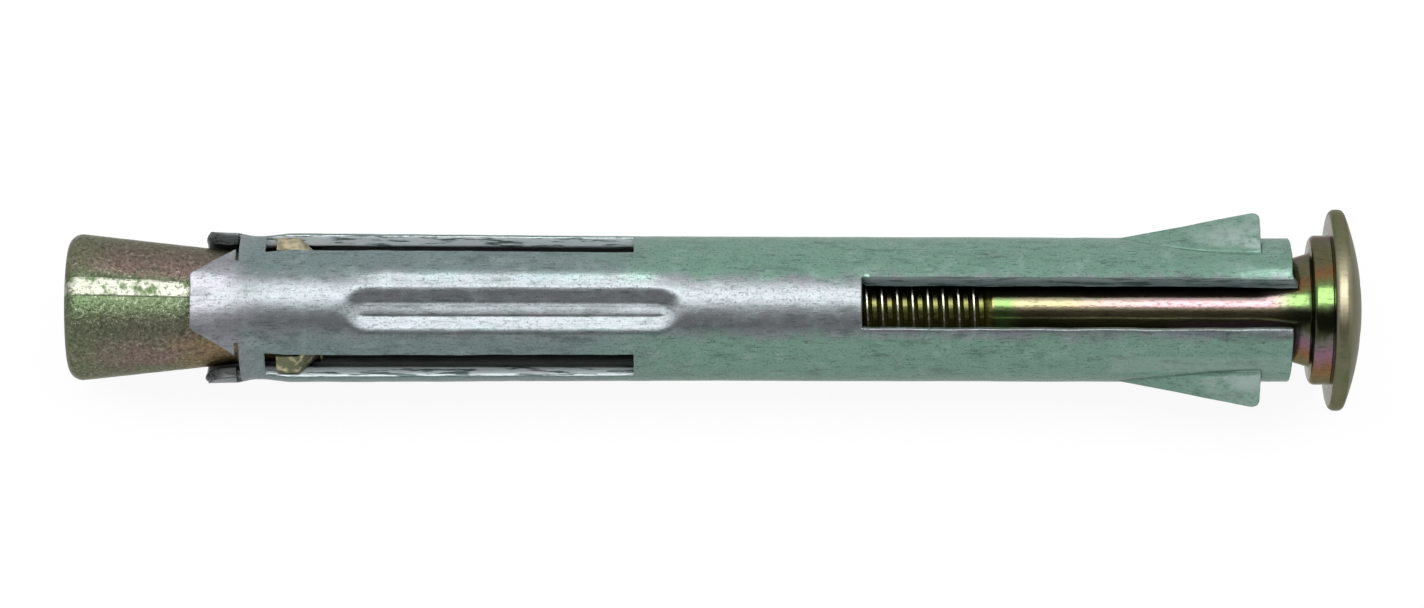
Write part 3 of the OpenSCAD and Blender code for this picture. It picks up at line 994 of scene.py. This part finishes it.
def closeUp(bm, angle):
    bmesh.ops.remove_doubles(bm, verts=bm.verts, dist=2e-7)
    bmesh.ops.dissolve_degenerate(bm, edges=bm.edges, dist=1e-8)
    bmesh.ops.recalc_face_normals(bm, faces=bm.faces)
    sharpen(bm, angle)


screw = {
    "headR": 6.626,
    "headH": 2.17,
    "domeR": 18.0,
    "edgeR": 0.4,
    "collarR": 4.92,
    "collarH": 1.29,
    "collarEdge": 0.4,
    "neckR": 3.75,
    "neckLen": 3.6,
    "shankR": 2.65,
    "plainLen": 22.0,
    "len": 80.0,
    "runOut": 0.8,
    "recessSpan": 6.6,
    "recessDepth": 3.2,
    "recessArm": 1.25,
    "segments": 84,
}


def recessCutter():
    # the cross narrows towards its foot
    s = screw
    bm = bmesh.new()
    half, reach = s["recessArm"] / 2, s["recessSpan"] / 2
    inner = half * 1.62
    outline = []
    for k in range(4):
        turn = radians(45 + 90 * k)
        for away, side in ((inner, -half), (reach, -half * 0.96), (reach, half * 0.96), (inner, half)):
            outline.append((away * cos(turn) - side * sin(turn), away * sin(turn) + side * cos(turn)))
    levels = [(s["headH"] + 0.6, 1.09, 1.02), (s["headH"] - s["recessDepth"] * 0.9, 0.56, 0.92),
              (s["headH"] - s["recessDepth"], 0.42, 0.6)]
    rings = []
    for x, spread, narrow in levels:
        ring = []
        for y, z in outline:
            share = narrow if hypot(y, z) < reach * 0.6 else spread
            ring.append(bm.verts.new((x * mm, y * share * mm, z * share * mm)))
        rings.append(ring)
    for low, high in zip(rings, rings[1:]):
        for j in range(len(outline)):
            k = (j + 1) % len(outline)
            bm.faces.new((low[j], low[k], high[k], high[j]))
    bm.faces.new(rings[0][::-1])
    bm.faces.new(rings[-1])
    bmesh.ops.recalc_face_normals(bm, faces=bm.faces)
    return meshPiece("recessCutter", bm, [])


def buildScrew():
    s = screw
    angles = [360 * k / s["segments"] for k in range(s["segments"])]
    centre = s["headH"] - s["domeR"]
    edgeAt = s["headR"] - s["edgeR"]
    inner = s["domeR"] - s["edgeR"]
    edgeX = centre + sqrt(inner * inner - edgeAt * edgeAt)
    lean = degrees(asin(edgeAt / inner))
    e = s["collarEdge"]
    profile = [(s["headH"], 0.0)]
    profile += arc((centre, 0), s["domeR"], 0.5, lean, 22)
    profile += arc((edgeX, edgeAt), s["edgeR"], lean, 90, 6)[1:]
    profile += arc((s["edgeR"], edgeAt), s["edgeR"], 90, 180, 7)
    profile += [(0.0, s["collarR"] + 0.5), (0.0, s["collarR"] + 0.12)]
    profile += [(-0.03, s["collarR"] + 0.03), (-0.1, s["collarR"]), (-s["collarH"] / 2, s["collarR"])]
    profile += arc((-s["collarH"] + e, s["collarR"] - e), e, 90, 180, 6)
    profile += [(-s["collarH"], s["neckR"] + 0.15), (-s["collarH"] - 0.06, s["neckR"] + 0.02)]
    neckEnd = -s["collarH"] - s["neckLen"]
    profile += [(lerp(-s["collarH"] - 0.15, neckEnd, k / 6), lerp(s["neckR"] - 0.04, s["shankR"], k / 6))
                for k in range(7)]
    profile += [(x, s["shankR"]) for x in steps([neckEnd - 0.4, -s["plainLen"]], lambda x: 0.5)]

    bm = bmesh.new()
    lathe(profile, angles, bm)

    tip = -s["len"]

    def threaded(x, angle):
        r = threadRadius(threadTurns(x, angle))
        r = lerp(s["shankR"], r, ease((-s["plainLen"] - x) / s["runOut"]))
        return min(r, thread["crestR"] - 0.6 + (x - tip) * 0.6)

    threadRings(tip, -s["plainLen"], angles, threaded, bm)
    endR = threaded(tip, 0)
    lathe([(tip, endR), (tip + 0.01, endR * 0.6), (tip + 0.02, 0.0)], angles, bm)
    closeUp(bm, 38)
    left = openEdges(bm)
    piece = meshPiece("crossScrew", bm, [])

    cutter = recessCutter()
    cut = piece.modifiers.new("recess", "BOOLEAN")
    cut.operation, cut.solver, cut.object = "DIFFERENCE", "EXACT", cutter
    graph = bpy.context.evaluated_depsgraph_get()
    mesh = bpy.data.meshes.new_from_object(piece.evaluated_get(graph))
    piece.modifiers.clear()
    piece.data = mesh
    bpy.data.objects.remove(cutter)
    bm = bmesh.new()
    bm.from_mesh(mesh)
    sharpen(bm, 38)
    print("screw mesh:", len(bm.faces), "faces,", left, "open edges before the recess")
    bm.to_mesh(mesh)
    bm.free()
    mesh.materials.clear()
    mesh.materials.append(screwPlate)
    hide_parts("screw")
    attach(piece, "screw")


nut = {
    "coneR": 4.81,
    "coneAngle": 6.3,
    "edgeR": 0.92,
    "coneLen": 12.3,
    "bodyR": 3.55,
    "len": 16.6,
    "lugR": 4.7,
    "lugHalf": 11.75,
    "lugStart": 13.8,
    "lugFlat": 1.4,
    "lugFall": 1.3,
    "boreGap": 0.06,
    "mouth": 0.45,
    "partings": (10.0, 190.0),    # where the two halves of the die met
    "partingDip": 0.05,
    "partingWide": 0.55,
    "stripWide": 14.0,        # the flat strip beside each, and the ridge along its far side
    "stripDip": 0.03,
    "ridgeHigh": 0.035,
    "ridgeWide": 0.9,
}


def fromTop(angle):
    # an angle from the top towards +Y, as an angle from +Y towards +Z
    return (90 - angle) % 360


def buildNut():
    n = nut
    far, near = nodeSpan("cone_nut")
    slope = tan(radians(n["coneAngle"]))
    lugCentres = [sleeve["turn"] + 60 + 120 * k for k in range(3)]
    lugEdges = sorted(fromTop(c + side * n["lugHalf"]) for c in lugCentres for side in (-1, 1))
    fine = []
    for p in n["partings"]:
        fine += [fromTop(p + d) for d in (-2, -1.1, -0.6, 0, 0.6, 1.1, 2.2)]
        fine += [fromTop(p + n["stripWide"] + d) for d in (-3, -2.2, -1.4, -0.7, 0, 0.7, 1.5, 2.5)]
    edges = [e + d for e in lugEdges for d in (-0.25, 0.25)]
    angles = sorted(set(round(a % 360, 4) for a in fine + edges))
    filled = []
    for a, b in zip(angles, angles[1:] + [angles[0] + 360]):
        count = max(1, ceil((b - a) / 3.6))
        filled += [lerp(a, b, k / count) % 360 for k in range(count)]
    angles = sorted(filled)

    def onLug(angle):
        return any(abs((fromTop(c) - angle + 180) % 360 - 180) < n["lugHalf"] for c in lugCentres)

    def surface(x, r, angle):
        run = x - far
        if r < 3.3:
            return r
        top = (90 - angle) % 360
        y, z = r * cos(radians(angle)), r * sin(radians(angle))
        if run < n["coneLen"] and run > 0.02:
            shade = ease((run - 0.1) / 0.8) * ease((n["coneLen"] - 0.05 - run) / 0.3)
            for p in n["partings"]:
                off = (top - p + 180) % 360 - 180
                ridge = off - n["stripWide"] - 1.6 * wobble(x, 3.0, p, 1.4) - 0.9 * wobble(x, 9.0, p, 0.5)
                r -= n["partingDip"] * exp(-(off / n["partingWide"]) ** 2) * shade
                r += n["ridgeHigh"] * exp(-(ridge / n["ridgeWide"]) ** 2) * shade
                r -= n["stripDip"] * ease(off) * ease((n["stripWide"] - off) / 2) * shade
            r += (0.012 * wobble(x, y, z, 0.9) + 0.006 * wobble(x, y, z + 30, 0.3)) * shade
        lugRun = run - n["lugStart"]
        if 0 <= lugRun <= n["lugFlat"] + n["lugFall"] and onLug(angle):
            full = n["lugR"] + 0.02 * wobble(x, y, z, 0.6)
            r = max(r, lerp(full, n["bodyR"], clamp((lugRun - n["lugFlat"]) / n["lugFall"])))
        return r

    edge = arc((far + n["edgeR"], n["coneR"] - n["edgeR"]), n["edgeR"], 180, 90, 10)
    bore = thread["crestR"] + n["boreGap"]
    wide = bore + n["mouth"]
    profile = [(far + n["mouth"], bore), (far + 0.04, wide - 0.02), (far, wide + 0.05)] + edge
    coneEnd = far + n["coneLen"]

    def coneR(x):
        return n["coneR"] - slope * (x - far - n["edgeR"])

    profile += [(x, coneR(x)) for x in steps([far + n["edgeR"] + 0.3, coneEnd - 0.1], lambda x: 0.3)]
    profile += [(coneEnd, coneR(coneEnd) - 0.08), (coneEnd + 0.02, n["bodyR"] + 0.1)]
    profile += [(coneEnd + 0.1, n["bodyR"])]
    lug = far + n["lugStart"]
    profile += [(lug - 0.4, n["bodyR"]), (lug - 0.004, n["bodyR"]), (lug + 0.001, n["bodyR"])]
    profile += [(lug + d, n["bodyR"]) for d in (0.12, 0.5, 1.0, 1.4, 1.6, 1.9, 2.2, 2.5, 2.7)]
    profile += [(near - 0.06, n["bodyR"]), (near, n["bodyR"] - 0.06), (near, wide + 0.02)]
    profile += [(near - n["mouth"], bore)]

    bm = bmesh.new()
    lathe(profile, angles, bm, surface)

    def bored(x, angle):
        cut = threadRadius(threadTurns(x, angle)) + n["boreGap"]
        return lerp(cut, bore, ease(1 - min(x - far, near - x) / n["mouth"] + 1))

    threadRings(far + n["mouth"], near - n["mouth"], angles, bored, bm)
    closeUp(bm, 32)
    print("nut mesh:", len(bm.faces), "faces,", openEdges(bm), "open edges")
    piece = meshPiece("coneNut", bm, [nutPlate])
    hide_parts("cone_nut")
    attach(piece, "cone_nut")


screwPlate = makeScrewPlate()
nutPlate = makeNutPlate()
buildScrew()
buildNut()
print("screw and nut built")


studio = {
    "floorZ": -6.63,          # millimetres
    "floorHalf": 4.0,         # metres
    "floorGrey": 0.9,
    "floorWhite": 0.93,       # how much of the floor is plain white to the camera and to reflections
    "cameraX": -40.53,
    "cameraY": 0.31,
    "cameraHeight": 440.0,
    "cameraRoll": 0.136,
    "lens": 168.9,
    "fill": 0.55,
    "panelPower": 13.5,
    "panelWay": (0.0, 0.41, 1.0),
    "panelAway": 0.9,
    "panelSize": (1.6, 0.42),
    "shade": 0.97,            # one side of the room is this much darker
    "shadeFrom": (-42, -30),  # degrees from straight up
    "shadeTo": (-4, 5),
}


def buildFloor():
    bm = bmesh.new()
    bmesh.ops.create_grid(bm, x_segments=8, y_segments=8, size=studio["floorHalf"])
    material = newMaterial("paleFloor")
    f = Nodes(material.node_tree)
    shader = f.add("BsdfPrincipled", {"Base Color": (*[studio["floorGrey"]] * 3, 1), "Roughness": 0.9})
    white = f.add("Emission", {"Color": (1, 1, 1, 1), "Strength": 1.0})
    path = f.add("LightPath").outputs
    seen = f.maths("MAXIMUM", path["Is Camera Ray"], path["Is Glossy Ray"])
    seen = f.maths("MAXIMUM", seen, path["Is Transmission Ray"])
    mixer = f.add("MixShader", {"Fac": f.times(seen, studio["floorWhite"])})
    f.plug(shader.outputs[0], mixer.inputs[1])
    f.plug(white.outputs[0], mixer.inputs[2])
    f.add("OutputMaterial", {"Surface": mixer.outputs[0]})
    floor = meshPiece("floor", bm, [material])
    floor.location.z = studio["floorZ"] * mm


def buildPanel():
    # one soft lamp that faces the middle of the part
    lamp = bpy.data.lights.new("mainPanel", "AREA")
    lamp.shape = "RECTANGLE"
    lamp.size, lamp.size_y = studio["panelSize"]
    lamp.energy = studio["panelPower"]
    panel = bpy.data.objects.new("mainPanel", lamp)
    away = Vector(studio["panelWay"]).normalized()
    middle = (cadBox[0] + cadBox[1]) / 2
    panel.location = middle + away * studio["panelAway"]
    panel.rotation_euler = away.to_track_quat("Z", "Y").to_euler()
    bpy.context.scene.collection.objects.link(panel)


def buildRoom():
    world = bpy.data.worlds.new("studio")
    bpy.context.scene.world = world
    world.use_nodes = True
    f = Nodes(world.node_tree)
    path = f.add("LightPath").outputs
    _, y, z = f.add("SeparateXYZ", {"Vector": f.add("TexCoord").outputs["Generated"]}).outputs
    # polished metal picks up the darker side of the room
    shaded = f.facing(f.maths("ARCTAN2", y, z), *studio["shadeFrom"], *studio["shadeTo"])
    room = f.maths("MULTIPLY_ADD", shaded, -studio["shade"], 1.0)
    sharp = f.maths("MAXIMUM", path["Is Glossy Ray"], path["Is Transmission Ray"])
    level = f.maths("MULTIPLY_ADD", sharp, 1 - studio["fill"], studio["fill"])
    strength = f.maths("MAXIMUM", f.times(room, level), path["Is Camera Ray"])
    white = f.add("Background", {"Color": (1, 1, 1, 1), "Strength": strength})
    f.add("OutputWorld", {"Surface": white.outputs[0]})


def buildCamera():
    lens = bpy.data.cameras.new("camera")
    lens.lens = studio["lens"]
    lens.sensor_width = 36
    lens.clip_start, lens.clip_end = 0.01, 20
    camera = bpy.data.objects.new("camera", lens)
    camera.location = Vector((studio["cameraX"], studio["cameraY"], studio["cameraHeight"])) * mm
    camera.rotation_euler = (0, 0, radians(studio["cameraRoll"]))
    scene = bpy.context.scene
    scene.collection.objects.link(camera)
    scene.camera = camera
    scene.view_settings.view_transform = "Standard"


buildFloor()
buildPanel()
buildRoom()
buildCamera()
print("studio set")
